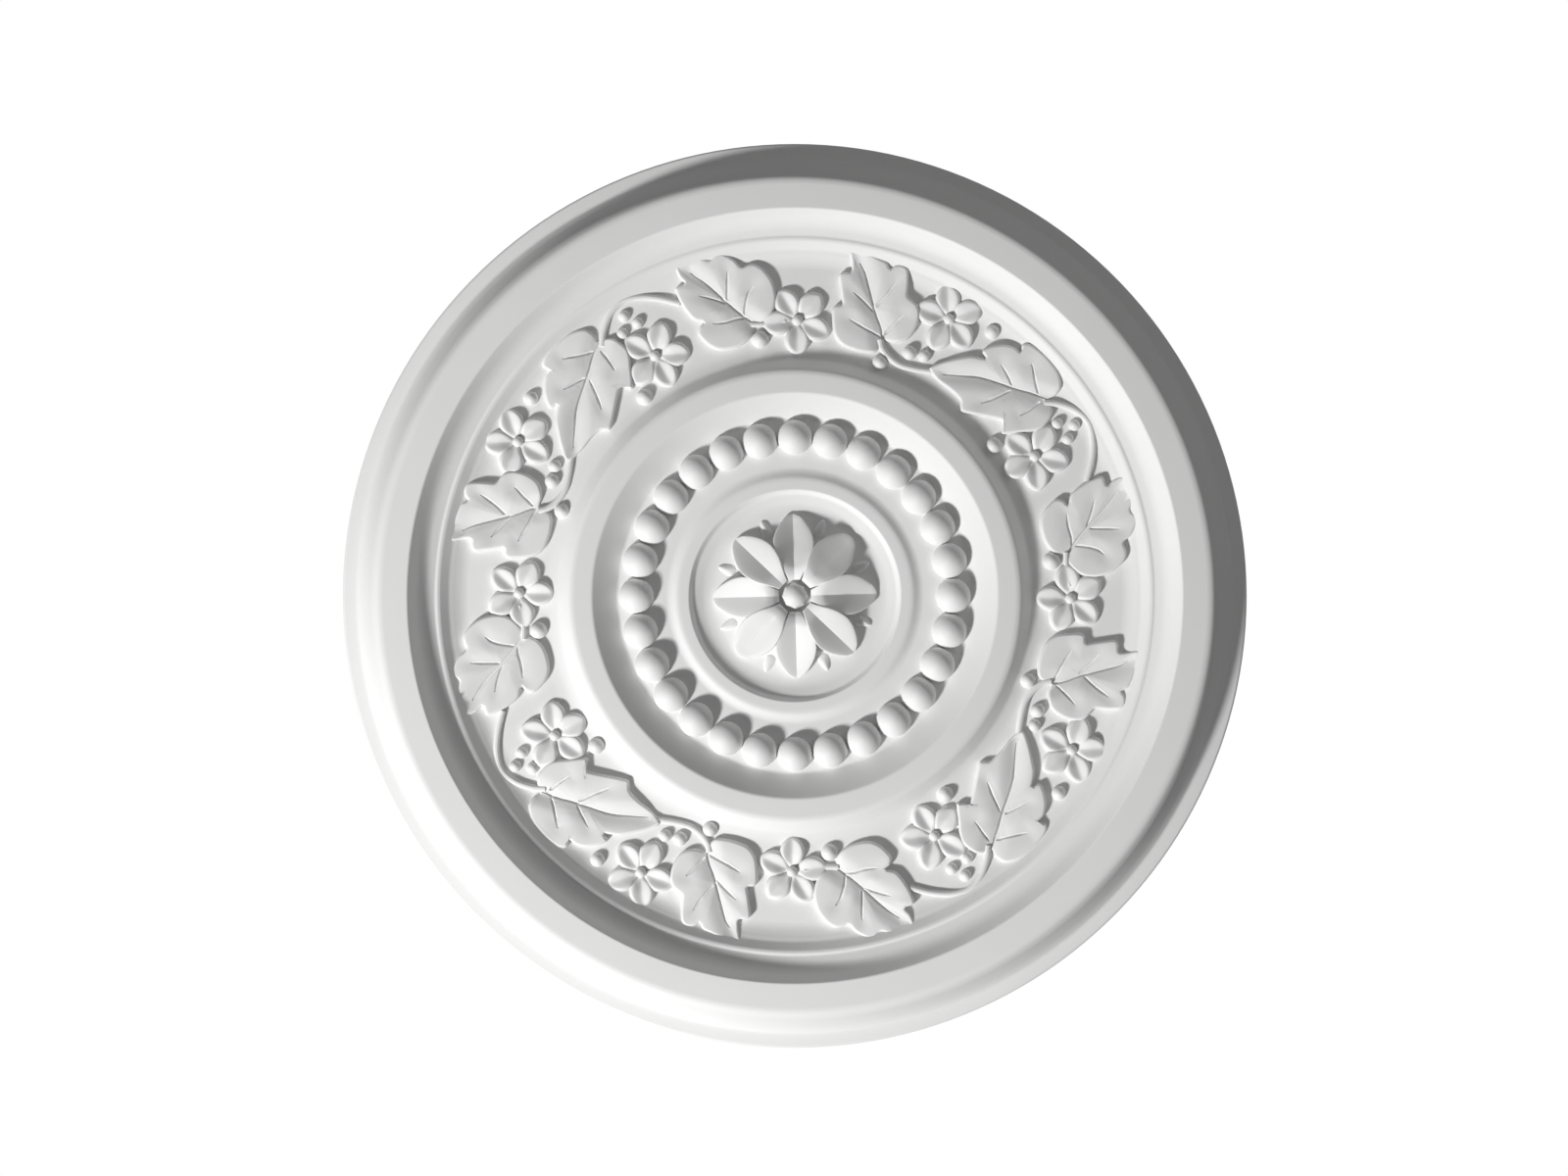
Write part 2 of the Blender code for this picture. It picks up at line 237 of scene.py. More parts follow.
def tube(path: np.ndarray, across_radii: np.ndarray, up_radii: np.ndarray, columns: int) -> Shell:
    """A tube along a path, closed on its end points; with four columns it is a ridge that points down.

    Args:
        path: (n, 3) places.
        across_radii: n half widths.
        up_radii: n half heights.
        columns: points in each ring.

    Returns:
        The closed shell.
    """
    ahead = np.gradient(path, axis=0)
    ahead /= np.linalg.norm(ahead, axis=1)[:, None]
    across = np.cross(ahead, (0.0, 0.0, 1.0))
    across /= np.linalg.norm(across, axis=1)[:, None]
    up = np.cross(across, ahead)
    around = np.arange(columns) * 2 * np.pi / columns
    wide = (across_radii[:, None] * np.cos(around))[:, :, None] * across[:, None, :]
    high = (up_radii[:, None] * np.sin(around))[:, :, None] * up[:, None, :]
    return loft(path[:, None, :] + wide + high, path[0], path[-1])


def egg(
    sizes: tuple,
    columns: int,
    point: float = 0.0,
    latitudes: tuple = (-30, -12, 4, 20, 36, 52, 68, 80),
) -> Shell:
    """An egg about the origin, in rings of latitude from a sunk flat bottom to the top.

    Args:
        sizes: half width, half length and half height.
        columns: points in each ring.
        point: how far the front end is drawn to a point, 0 to 1.
        latitudes: degrees of the rings.

    Returns:
        The closed shell.
    """
    narrowing, lengthening = 0.28 * point, 0.10 * point
    rise = np.radians(latitudes)
    around = np.arange(columns) * 2 * np.pi / columns
    flat = np.cos(rise)[:, None]
    across = sizes[0] * flat * np.sin(around) * (1 - narrowing * np.cos(around))
    along = sizes[1] * flat * (np.cos(around) + lengthening * np.cos(2 * around))
    up = sizes[2] * np.sin(rise)[:, None] + 0.0 * across
    rings = np.stack((across, along, up), axis=-1)
    return loft(rings, np.array((0.0, 0.0, rings[0, 0, 2])), np.array((0.0, 0.0, sizes[2])))


# ---------------------------------------------------------------- carved plates


@dataclass(frozen=True)
class Gouge:
    """The ridge with a sharp lower edge that cuts a crease, slimmer at both ends.

    Args:
        half_width: half the width of a midline's crease.
        depth: its depth.
        side: size of the other creases as a share of the midline's.
        end: size at the ends as a share of the full size.
        opening: share of the length over which a crease grows to its full size.
        closing: share of the length over which it thins again.
        lift: height of the ridge's middle over the surface.
    """

    half_width: float = 1.5
    depth: float = 1.6
    side: float = 0.9
    end: float = 0.40
    opening: float = 0.10
    closing: float = 0.25
    lift: float = 0.05

    def sizes(self, count: int, is_midline: bool) -> np.ndarray:
        """Size along a crease, as a share of the full one.

        Args:
            count: how many points the crease's path has.
            is_midline: whether the crease is the midline.

        Returns:
            The size at each point.
        """
        t = np.linspace(0.0, 1.0, count)
        full = np.clip(np.minimum(t / self.opening, (1 - t) / self.closing), 0, 1)
        return (1.0 if is_midline else self.side) * (self.end + (1 - self.end) * full)


@dataclass(frozen=True)
class Plate:
    """A carved plate that stands on the field, drawn upright about its own middle.

    Args:
        outline: knots round the edge, in millimetres across and outward.
        heart: a point that sees the whole outline.
        creases: incised lines; the first is the midline to which both halves fall.
        rise: height of the edge over the field.
        slope: fall towards the midline, over the distance reach.
        reach: how far from the midline the fall begins.
        puff: swelling of the panels between the creases, reached at puff_reach from them.
        puff_reach: distance over which the panels swell.
        dip: how far the plate sinks at its root.
        root: the place of the root.
        rounding: (inward, drop) steps of the rounded edge, from the wall inward.
        columns: points round each ring.
        shares: shares of the way from the edge to the heart at which rings lie.
        foot: how far the foot stands outside the edge, down in the body.
        wall: how far the wall's lower end stands outside the edge, and its height over the field.
        dip_reach: distance from the root over which the dip fades.
    """

    outline: tuple
    heart: tuple
    creases: tuple
    rise: float
    slope: float
    reach: float
    puff: float
    puff_reach: float
    dip: float
    root: tuple
    rounding: tuple
    columns: int
    shares: tuple
    foot: float = 0.25
    wall: tuple = (0.15, 0.2)
    dip_reach: float = 7.0

    def height(self, points: np.ndarray) -> np.ndarray:
        """Height over the back: the edge's, less the fall to the midline and the dip, plus the swelling.

        Args:
            points: (n, 2) places.

        Returns:
            The n heights.
        """
        lines = [np.array(line, float) for line in self.creases]
        middle = np.minimum(distance_to_lines(points, lines[:1]), self.reach)
        panel = distance_to_lines(points, lines)
        swell = self.puff * (1.0 - np.exp(-((panel / self.puff_reach) ** 2)))
        away = np.linalg.norm(points - np.array(self.root), axis=1)
        sink = self.dip * np.exp(-((away / self.dip_reach) ** 2))
        return FIELD_HEIGHT + self.rise - self.slope * (self.reach - middle) + swell - sink

    def shell(self) -> Shell:
        """Rings drawn about the heart: foot in the body, wall, rounded edge, then the creased top.

        Returns:
            The closed shell.
        """
        heart = np.array(self.heart, float)
        curve = smooth_path(np.array(self.outline, float), OUTLINE_STEPS, closed=True)
        edge = even_path(curve, self.columns)
        out = np.roll(edge, -1, axis=0) - np.roll(edge, 1, axis=0)
        out = np.stack((out[:, 1], -out[:, 0]), axis=-1) / np.linalg.norm(out, axis=1)[:, None]
        if ((edge - heart) * out).sum() < 0:
            out = -out
        rings = []
        for outward, level in ((self.foot, ROOT_HEIGHT), (self.wall[0], FIELD_HEIGHT + self.wall[1])):
            rings.append(np.column_stack((edge + outward * out, np.full(len(edge), level))))
        for inward, drop in self.rounding:
            ring = edge - inward * out
            rings.append(np.column_stack((ring, self.height(ring) - drop)))
        start = edge - self.rounding[-1][0] * out
        for share in self.shares:
            ring = start + share * (heart - start)
            rings.append(np.column_stack((ring, self.height(ring))))
        top = self.height(heart[None, :])[0]
        return loft(np.array(rings), np.array((*heart, ROOT_HEIGHT)), np.array((*heart, top)))

    def cutters(self, gouge: Gouge) -> list:
        """Ridges that cut the creases.

        Args:
            gouge: the form of the ridges.

        Returns:
            One closed shell for each crease.
        """
        shells = []
        for number, crease in enumerate(self.creases):
            path = smooth_path(np.array(crease, float), PATH_STEPS)
            path = np.column_stack((path, self.height(path) + gouge.lift))
            size = gouge.sizes(len(path), number == 0)
            shells.append(tube(path, gouge.half_width * size, gouge.depth * size, 4))
        return shells


# ---------------------------------------------------------------- frieze


@dataclass(frozen=True)
class Leaf:
    """A lobed leaf, drawn upright about its middle in millimetres across and outward.

    Args:
        angle: clock angle of its middle.
        radius: distance of its middle from the middle of the rose.
        outline: knots round the edge, lobes and notches in turn.
        veins: lines of the incised veins; the first is the midrib, from the stem to the tip.
    """

    angle: float
    radius: float
    outline: tuple
    veins: tuple

    def plate(self) -> Plate:
        """The leaf as a carved plate whose edges stand higher than its midrib.

        Returns:
            The plate.
        """
        return Plate(
            outline=self.outline,
            heart=(0.0, -1.0),
            creases=self.veins,
            rise=4.2,
            slope=0.21,
            reach=10.0,
            puff=1.2,
            puff_reach=4.6,
            dip=0.8,
            root=self.veins[0][0],
            rounding=((0.0, 2.3), (0.25, 1.3), (0.7, 0.6), (1.3, 0.2), (2.0, 0.0)),
            columns=140,
            shares=(0.14, 0.28, 0.42, 0.55, 0.67, 0.78, 0.88, 0.95),
        )


UPRIGHT_LEAF = Leaf(
    15.0,
    198.9,
    outline=(
        (-24, 30.5), (-18, 32), (-11, 32.5), (-4.5, 31.5), (2, 30), (5, 26.5), (7.5, 29.5),
        (12.5, 31), (16.5, 29), (18.5, 23.5), (20, 16.5), (21, 12), (25, 10), (28.5, 8), (31.5, 3),
        (32, -5), (30, -12.5), (26.5, -17), (20, -20), (13.5, -20.5), (12.5, -24), (9.5, -29.5),
        (2, -31.5), (-6, -31.5), (-13.5, -30), (-19.5, -25), (-23, -17), (-25, -9.5), (-23.5, -6),
        (-19.5, -4.5), (-21, -0.5), (-24, 6.5), (-26.5, 13.5), (-24, 16.5), (-19.5, 18), (-21, 24),
    ),
    veins=(
        ((12.5, -20.5), (9.5, -13.5), (3.5, -5), (1, -0.5), (-6, 12), (-11, 20.5), (-15.5, 25)),
        ((2, -0.5), (7, 9), (11, 19.5)),
        ((2, -4), (-6, 1), (-14.5, 5.5)),
        ((12, -19), (3.5, -17), (-4.5, -15), (-12.5, -12.5)),
        ((12.5, -16.5), (17, -8.5), (21.5, -1)),
    ),
)
LONG_LEAF = Leaf(
    44.0,
    197.6,
    outline=(
        (-40.5, -27), (-37, -18), (-32, -10), (-27, -3), (-21, 1.5), (-18, 3.5), (-23, 5),
        (-22.5, 9), (-19, 15), (-14.5, 19.5), (-9.5, 22), (-4, 22.5), (-7, 26), (-6, 29),
        (-2.5, 31), (4.5, 32), (13, 32), (21.5, 30.5), (27.5, 27.5), (31, 24), (32, 18), (31, 13.5),
        (35, 11.5), (39, 7.5), (40.5, 1.5), (40.5, -4.5), (37.5, -10), (33.5, -14.5), (29, -20),
        (24, -25), (21.5, -21.5), (19, -18.5), (14, -21), (7, -25.5), (0, -30), (-5.5, -33),
        (-8.5, -31), (-11.5, -28.5), (-20, -28), (-31, -29),
    ),
    veins=(
        (
            (30.5, 12.5), (19, 7.5), (12, 3.5), (1.5, -1.5), (-7, -5.5), (-14, -9.5), (-20, -14.5),
            (-32, -24.5),
        ),
        ((24, 10.5), (18, 14), (12, 18), (6, 22)),
        ((7.5, 2.5), (1, 5), (-8, 7.5)),
        ((8.5, 0), (5.5, -8), (3, -14), (0, -20)),
        ((27.5, 8), (26.5, 1), (24.5, -8)),
    ),
)
LEANING_LEAF = Leaf(
    77.5,
    200.2,
    outline=(
        (-30.5, 28.5), (-28, 31), (-21, 32.5), (-13.5, 32.5), (-7, 29), (-3.5, 32), (1, 32),
        (5.5, 29), (9.5, 25), (12.5, 20), (17, 20.5), (21.5, 20), (26, 16), (29.5, 9.5), (31, 3),
        (30.5, -5), (27.5, -12), (22.5, -16.5), (17, -19), (13, -20), (11.5, -23), (8, -27.5),
        (2, -30.5), (-6, -31.5), (-13.5, -30.5), (-19.5, -26.5), (-24, -20), (-25, -16.5),
        (-23, -12.5), (-19.5, -10.5), (-25.5, -7.5), (-29, -2), (-31.5, 4.5), (-33, 10.5),
        (-33, 16), (-26.5, 17.5), (-29, 22),
    ),
    veins=(
        ((13.5, -19.5), (5, -10), (-2, -1), (-7.5, 7), (-13.5, 15), (-21.5, 23.5)),
        ((-1.5, -0.5), (0.5, 8), (3, 19)),
        ((-2, -2), (-10, 3), (-19, 7.5)),
        ((9.5, -14), (2, -13), (-6, -13.5), (-14, -12.5)),
        ((7.5, -12.5), (10, -5), (13.5, 2), (18, 6)),
    ),
)


@dataclass(frozen=True)
class Blossom:
    """Five hollow petals about a small ball.

    Args:
        angle: clock angle of the ball.
        radius: distance of the ball from the middle of the rose.
        petals: where each petal points, in degrees clockwise from outward.
        ball: radius of the ball.
        ball_height: height of the ball's middle over the field.
    """

    angle: float
    radius: float
    petals: tuple = (-32.0, 42.0, 115.0, 180.0, 261.0)
    ball: float = 3.6
    ball_height: float = 1.6

    def petal(self) -> Plate:
        """One petal pointing outward from the blossom's centre, with raised sides and a V-shaped hollow.

        Returns:
            The plate.
        """
        half = ((0.0, 1.6), (3.7, 4.6), (7.0, 8.6), (8.3, 13.2), (7.0, 17.8), (4.0, 21.4), (0.0, 23.2))
        mirrored = tuple((-x, y) for x, y in half[-2:0:-1])
        return Plate(
            outline=half + mirrored,
            heart=(0.0, 12.5),
            creases=(((0.0, 4.0), (0.0, 13.0), (0.0, 20.5)),),
            rise=3.6,
            slope=0.03,
            reach=4.6,
            puff=2.0,
            puff_reach=4.0,
            dip=2.2,
            root=(0.0, 2.0),
            rounding=((0.0, 2.8), (0.35, 1.7), (1.0, 0.8), (1.9, 0.2), (2.6, 0.0)),
            columns=28,
            shares=(0.24, 0.48, 0.70, 0.87),
        )

    def shells(self) -> list:
        """The petals and the ball in place.

        Returns:
            The closed shells.
        """
        petal = self.petal().shell()
        shells = [petal.turned(way).moved(0.0, self.radius) for way in self.petals]
        ball = egg((self.ball, self.ball, self.ball), SMALL_EGG_COLUMNS)
        shells.append(ball.moved(0.0, self.radius, FIELD_HEIGHT + self.ball_height))
        return [shell.turned(self.angle) for shell in shells]


@dataclass(frozen=True)
class Bud:
    """A round bud.

    Args:
        angle: its clock angle.
        radius: distance of its middle from the middle of the rose.
        size: its own radius.
        stretch: its height as a share of its radius.
        height: height of its middle over the field.
    """

    angle: float
    radius: float
    size: float
    stretch: float = 1.15
    height: float = 0.2

    def shell(self) -> Shell:
        """The bud standing on the field."""
        ball = egg((self.size, self.size, self.stretch * self.size), SMALL_EGG_COLUMNS)
        return ball.moved(0.0, self.radius, FIELD_HEIGHT + self.height).turned(self.angle)


@dataclass(frozen=True)
class Stem:
    """A round stem lying on the field.

    Args:
        knots: (clock angle, radius) places along it.
        start: its half thickness at the first knot.
        end: its half thickness at the last knot.
        height: height of its middle over the field.
        columns: points in each ring.
    """

    knots: tuple
    start: float
    end: float
    height: float = 1.5
    columns: int = 10

    def shell(self) -> Shell:
        """The stem as a round tube through its knots.

        Returns:
            The closed shell.
        """
        knots = np.array(self.knots, float)
        path = smooth_path(at(knots[:, 0], knots[:, 1], FIELD_HEIGHT + self.height), PATH_STEPS)
        thick = np.linspace(self.start, self.end, len(path))
        return tube(path, thick, thick, self.columns)


@dataclass
class Frieze:
    """The leaves, blossoms, buds and stems of the frieze, the same in each sector.

    Args:
        leaves: a sector's leaves.
        blossoms: its blossoms.
        buds: its buds.
        stems: its stems.
        gouge: what cuts the leaves' veins.
    """

    leaves: tuple = (UPRIGHT_LEAF, LONG_LEAF, LEANING_LEAF)
    blossoms: tuple = (
        Blossom(29.1, 210.0),
        Blossom(59.8, 184.0, (-32.0, 42.0, 115.0, 180.0, 246.0)),
        Blossom(90.55, 182.7),
    )
    buds: tuple = (
        Bud(20.0, 164.5, 5.2),
        Bud(25.3, 178.1, 4.9),
        Bud(28.4, 180.7, 4.3),
        Bud(36.8, 218.4, 4.9),
        Bud(58.6, 217.1, 4.0),
        Bud(56.7, 208.0, 4.0),
        Bud(60.1, 208.7, 4.0),
        Bud(52.9, 165.1, 5.6),
        Bud(82.3, 171.6, 5.9),
    )
    stems: tuple = (
        Stem(
            ((18.4, 179), (19.4, 174), (21.5, 170), (24.5, 168), (28, 170), (31, 173.5), (33, 176)),
            start=2.3,
            end=1.9,
        ),
        Stem(
            ((52.3, 209), (54, 216), (56.6, 223), (59.4, 226), (62.4, 223), (65.4, 216.5), (68.5, 208)),
            start=2.2,
            end=2.0,
        ),
        Stem(((80.9, 182), (84, 181), (88, 182.5)), start=2.0, end=1.8),
    )
    gouge: Gouge = Gouge()

    def shells(self) -> list:
        """Everything that one sector adds to the body.

        Returns:
            The closed shells.
        """
        shells = []
        for leaf in self.leaves:
            shells.append(leaf.plate().shell().moved(0.0, leaf.radius).turned(leaf.angle))
        for blossom in self.blossoms:
            shells += blossom.shells()
        shells += [bud.shell() for bud in self.buds]
        shells += [stem.shell() for stem in self.stems]
        return shells

    def cutters(self) -> list:
        """The ridges that cut one sector's veins.

        Returns:
            The closed shells.
        """
        shells = []
        for leaf in self.leaves:
            for cutter in leaf.plate().cutters(self.gouge):
                shells.append(cutter.moved(0.0, leaf.radius).turned(leaf.angle))
        return shells


# ---------------------------------------------------------------- turned body, beads and flower


@dataclass
class TurnedBody:
    """The turned mouldings: a rounded profile carried once round the middle.

    Args:
        outer_radius: radius of the rim.
        segments: points in each turned ring.
        crown: height of the middle of the dish.
        reach: largest share of a side that the rounding of a corner takes.
    """

    outer_radius: float = 299.6
    segments: int = 180
    crown: float = 12.3
    reach: float = 0.46

    def corners(self) -> tuple:
        """Corners of the profile from the rim inward.

        Returns:
            (radius, height, rounding, steps of the rounding) of each corner.
        """
        rim = self.outer_radius
        return (
            (rim - 1.0, 0.0, 0.0, 0),
            (rim, 1.0, 0.6, 2),
            (rim, 9.6, 1.6, 3),
            (298.6, 10.5, 1.2, 2),
            (291.4, 11.2, 1.0, 2),
            (289.6, 11.6, 1.6, 2),
            (286.5, 15.0, 3.0, 3),
            (282.0, 22.4, 5.0, 3),
            (278.6, 28.6, 5.0, 3),
            (275.4, 31.6, 3.0, 3),
            (272.4, 32.4, 1.6, 3),
            (255.0, 32.4, 1.0, 3),
            (252.2, 28.2, 5.0, 3),
            (248.6, 22.8, 5.0, 3),
            (244.4, 19.3, 4.0, 3),
            (239.4, 17.7, 3.0, 3),
            (237.9, 17.3, 0.8, 2),
            (236.7, 17.7, 0.8, 2),
            (234.8, 17.2, 2.2, 3),
            (229.2, 12.3, 2.0, 3),
            (226.6, 11.3, 1.4, 2),
            (225.2, 10.6, 1.0, 2),
            (221.6, 9.2, 2.4, 3),
            (218.0, FIELD_HEIGHT, 2.2, 3),
            (169.0, FIELD_HEIGHT, 3.0, 2),
            (163.0, 9.2, 3.0, 3),
            (158.6, 10.8, 1.6, 2),
            (156.6, 12.0, 2.4, 2),
            (152.4, 17.2, 2.6, 3),
            (149.6, 20.8, 2.0, 3),
            (146.8, 21.7, 1.6, 3),
            (134.0, 21.7, 1.2, 3),
            (117.4, 9.0, 1.4, 2),
            (84.6, 9.0, 0.9, 2),
            (82.2, 9.6, 1.6, 2),
            (78.6, 11.6, 1.6, 3),
            (76.4, 11.9, 0.8, 2),
            (70.2, 11.9, 0.7, 3),
            (67.6, 8.2, 0.8, 2),
            (65.0, 7.4, 1.0, 2),
            (60.4, 5.8, 1.6, 2),
            (55.0, DISH_HEIGHT, 4.0, 3),
            (20.0, 11.0, 4.0, 2),
        )

    def profile(self) -> np.ndarray:
        """The profile, with each corner replaced by a quadratic curve between points on its sides.

        Returns:
            The (radius, height) points.
        """
        corners = self.corners()
        places = np.array([corner[:2] for corner in corners], float)
        points = []
        for i, (_, _, rounding, steps) in enumerate(corners):
            here = places[i]
            if steps == 0 or i in (0, len(corners) - 1):
                points.append(here)
                continue
            back, forth = places[i - 1] - here, places[i + 1] - here
            behind, ahead = np.linalg.norm(back), np.linalg.norm(forth)
            reach = min(rounding, self.reach * behind, self.reach * ahead)
            start = here + reach * back / behind
            end = here + reach * forth / ahead
            for t in np.linspace(0.0, 1.0, steps + 1):
                points.append((1 - t) ** 2 * start + 2 * t * (1 - t) * here + t**2 * end)
        return np.array(points)

    def shell(self) -> Shell:
        """The body, with its face and its back closed on the axis.

        Returns:
            The closed shell.
        """
        profile = self.profile()
        angles = np.arange(self.segments) * 360.0 / self.segments
        rings = at(angles[None, :], profile[:, :1], profile[:, 1:])
        return loft(rings, np.array((0.0, 0.0, 0.0)), np.array((0.0, 0.0, self.crown)))


@dataclass
class BeadRing:
    """The ring of balls, each sunk to its middle in the channel floor.

    Args:
        count: how many beads.
        ring: distance of their centres from the middle of the rose.
        size: a bead's radius.
        flatness: how much less its half height is.
        height: height of their centres.
        columns: points in each ring of a bead.
        latitudes: degrees of those rings.
    """

    count: int = 28
    ring: float = 105.0
    size: float = 11.65
    flatness: float = 0.2
    height: float = 9.9
    columns: int = 24
    latitudes: tuple = (-30, -15, 0, 14, 28, 42, 56, 68, 79)

    def shells(self) -> list:
        """Every bead in place.

        Returns:
            The closed shells.
        """
        sizes = (self.size, self.size, self.size - self.flatness)
        bead = egg(sizes, self.columns, latitudes=self.latitudes).moved(0.0, self.ring, self.height)
        return [bead.turned(i * 360 / self.count) for i in range(self.count)]


@dataclass
class Flower:
    """The middle flower: long hollow petals, leaf tips between them and a knob.

    Args:
        petals: how many petals.
        turn: clock angle of the first petal.
        lap: how far every other petal stands over its neighbours.
        stations: along a petal, its radius, half width, height of the sides over the dish, and depth
            of the midline under them.
        station_steps: cross sections for each span between stations.
        shares: places across half a section, as shares of the half width from the side to the midline.
        falls: how far each of these places is rounded off.
        fall_width: half width under which the rounding shrinks with the petal.
        hollow_power: how the hollow deepens towards the midline, 1 being straight sides.
        foot: height of the petals' sunk lower edges.
        knob: radius and half height of the middle knob, and the height of its centre.
        knob_columns: points in each ring of the knob.
        tip: half width, half length and half height of the leaf tips, and their distance out.
        tip_height: height of the leaf tips' middles over the dish.
        tip_point: how far they are drawn to a point.
    """

    petals: int = 8
    turn: float = -1.5
    lap: float = 0.9
    stations: tuple = (
        (10.6, 4.0, 12.4, 0.8),
        (13.6, 5.4, 15.4, 1.4),
        (18.0, 7.8, 17.2, 2.4),
        (22.0, 9.8, 17.8, 4.4),
        (28.0, 12.2, 16.6, 5.4),
        (35.0, 13.5, 13.8, 5.4),
        (42.0, 12.0, 10.2, 4.2),
        (48.0, 8.8, 6.8, 2.8),
        (52.0, 5.6, 4.4, 1.4),
        (54.2, 1.6, 2.4, 0.3),
    )
    station_steps: int = 3
    shares: tuple = (-1.0, -1.0, -0.97, -0.88, -0.66, -0.42, -0.2, -0.06, 0.0)
    falls: tuple = (0.0, 1.4, 0.5, 0.05, 0.0, 0.0, 0.0, 0.0, 0.0)
    fall_width: float = 4.0
    hollow_power: float = 1.15
    foot: float = 2.5
    knob: tuple = (8.8, 9.0, 14.2)
    knob_columns: int = 8
    tip: tuple = (3.8, 6.6, 3.2, 47.0)
    tip_height: float = 0.4
    tip_point: float = 0.9

    def petal(self, lift: float) -> Shell:
        """The petal at twelve o'clock: hollow cross sections with rounded sides, lofted outward.

        Args:
            lift: how far it stands over its neighbours.

        Returns:
            The closed shell.
        """
        sides, falls = np.array(self.shares), np.array(self.falls)
        shares = np.concatenate((sides, -sides[-2::-1]))
        falls = np.concatenate((falls, falls[-2::-1]))
        radius, half, side, hollow = smooth_path(np.array(self.stations), self.station_steps).T
        across = half[:, None] * shares
        valley = hollow[:, None] * (1 - np.abs(shares)) ** self.hollow_power
        edge = falls * np.minimum(1, half / self.fall_width)[:, None]
        height = DISH_HEIGHT + lift + side[:, None] - valley - edge
        height[:, (0, -1)] = self.foot
        rings = np.stack((across, radius[:, None] + 0.0 * across, height), axis=-1)
        return loft(rings, rings[0].mean(axis=0), rings[-1].mean(axis=0))

    def shells(self) -> list:
        """The petals, the leaf tips that show between them, and the knob.

        Returns:
            The closed shells.
        """
        shells = []
        width, length, rise, reach = self.tip
        leaf_tip = egg((width, length, rise), SMALL_EGG_COLUMNS, self.tip_point)
        leaf_tip = leaf_tip.moved(0.0, reach, DISH_HEIGHT + self.tip_height)
        for i in range(self.petals):
            angle = self.turn + i * 360 / self.petals
            shells.append(self.petal(self.lap * (i % 2)).turned(angle))
            shells.append(leaf_tip.turned(angle + 180 / self.petals))
        size, half_height, height = self.knob
        knob = egg((size, size, half_height), self.knob_columns).moved(0.0, 0.0, height)
        shells.append(knob.turned(self.turn))
        return shells


# ---------------------------------------------------------------- finish


@dataclass(frozen=True)
class Primer:
    """White matt primer on a fine-grained moulding.

    Args:
        dark: the darker tint of the coat.
        light: the lighter tint.
        roughness: how matt it is.
        specular: strength of its plain reflection.
        tint_scale: how fine the change of tint is.
        tint_detail: its levels of detail.
        grain: depth of the surface grain in metres.
        grain_strength: how strongly it shows.
        grain_scale: how fine it is.
        grain_detail: its levels of detail.
    """

    dark: tuple = (0.80, 0.80, 0.795, 1.0)
    light: tuple = (0.84, 0.84, 0.835, 1.0)
    roughness: float = 0.62
    specular: float = 0.35
    tint_scale: float = 14.0
    tint_detail: float = 3.0
    grain: float = 0.0003
    grain_strength: float = 0.10
    grain_scale: float = 900.0
    grain_detail: float = 2.0

    def material(self) -> bpy.types.Material:
        """A broad noise tints the coat and a fine one gives it its grain.

        Returns:
            The material.
        """
        material = bpy.data.materials.new("white_primer")
        material.use_nodes = True
        nodes, links = material.node_tree.nodes, material.node_tree.links
        shader = nodes["Principled BSDF"]
        shader.inputs["Roughness"].default_value = self.roughness
        shader.inputs["Specular IOR Level"].default_value = self.specular
        place = nodes.new("ShaderNodeTexCoord")
        fine = nodes.new("ShaderNodeTexNoise")
        fine.inputs["Scale"].default_value = self.grain_scale
        fine.inputs["Detail"].default_value = self.grain_detail
        broad = nodes.new("ShaderNodeTexNoise")
        broad.inputs["Scale"].default_value = self.tint_scale
        broad.inputs["Detail"].default_value = self.tint_detail
        tint = nodes.new("ShaderNodeValToRGB")
        tint.color_ramp.elements[0].color = self.dark
        tint.color_ramp.elements[1].color = self.light
        bump = nodes.new("ShaderNodeBump")
        bump.inputs["Strength"].default_value = self.grain_strength
        bump.inputs["Distance"].default_value = self.grain
        links.new(place.outputs["Object"], fine.inputs["Vector"])
        links.new(place.outputs["Object"], broad.inputs["Vector"])
        links.new(broad.outputs["Fac"], tint.inputs["Fac"])
        links.new(tint.outputs["Color"], shader.inputs["Base Color"])
        links.new(fine.outputs["Fac"], bump.inputs["Height"])
        links.new(bump.outputs["Normal"], shader.inputs["Normal"])
        return material


# ---------------------------------------------------------------- casting


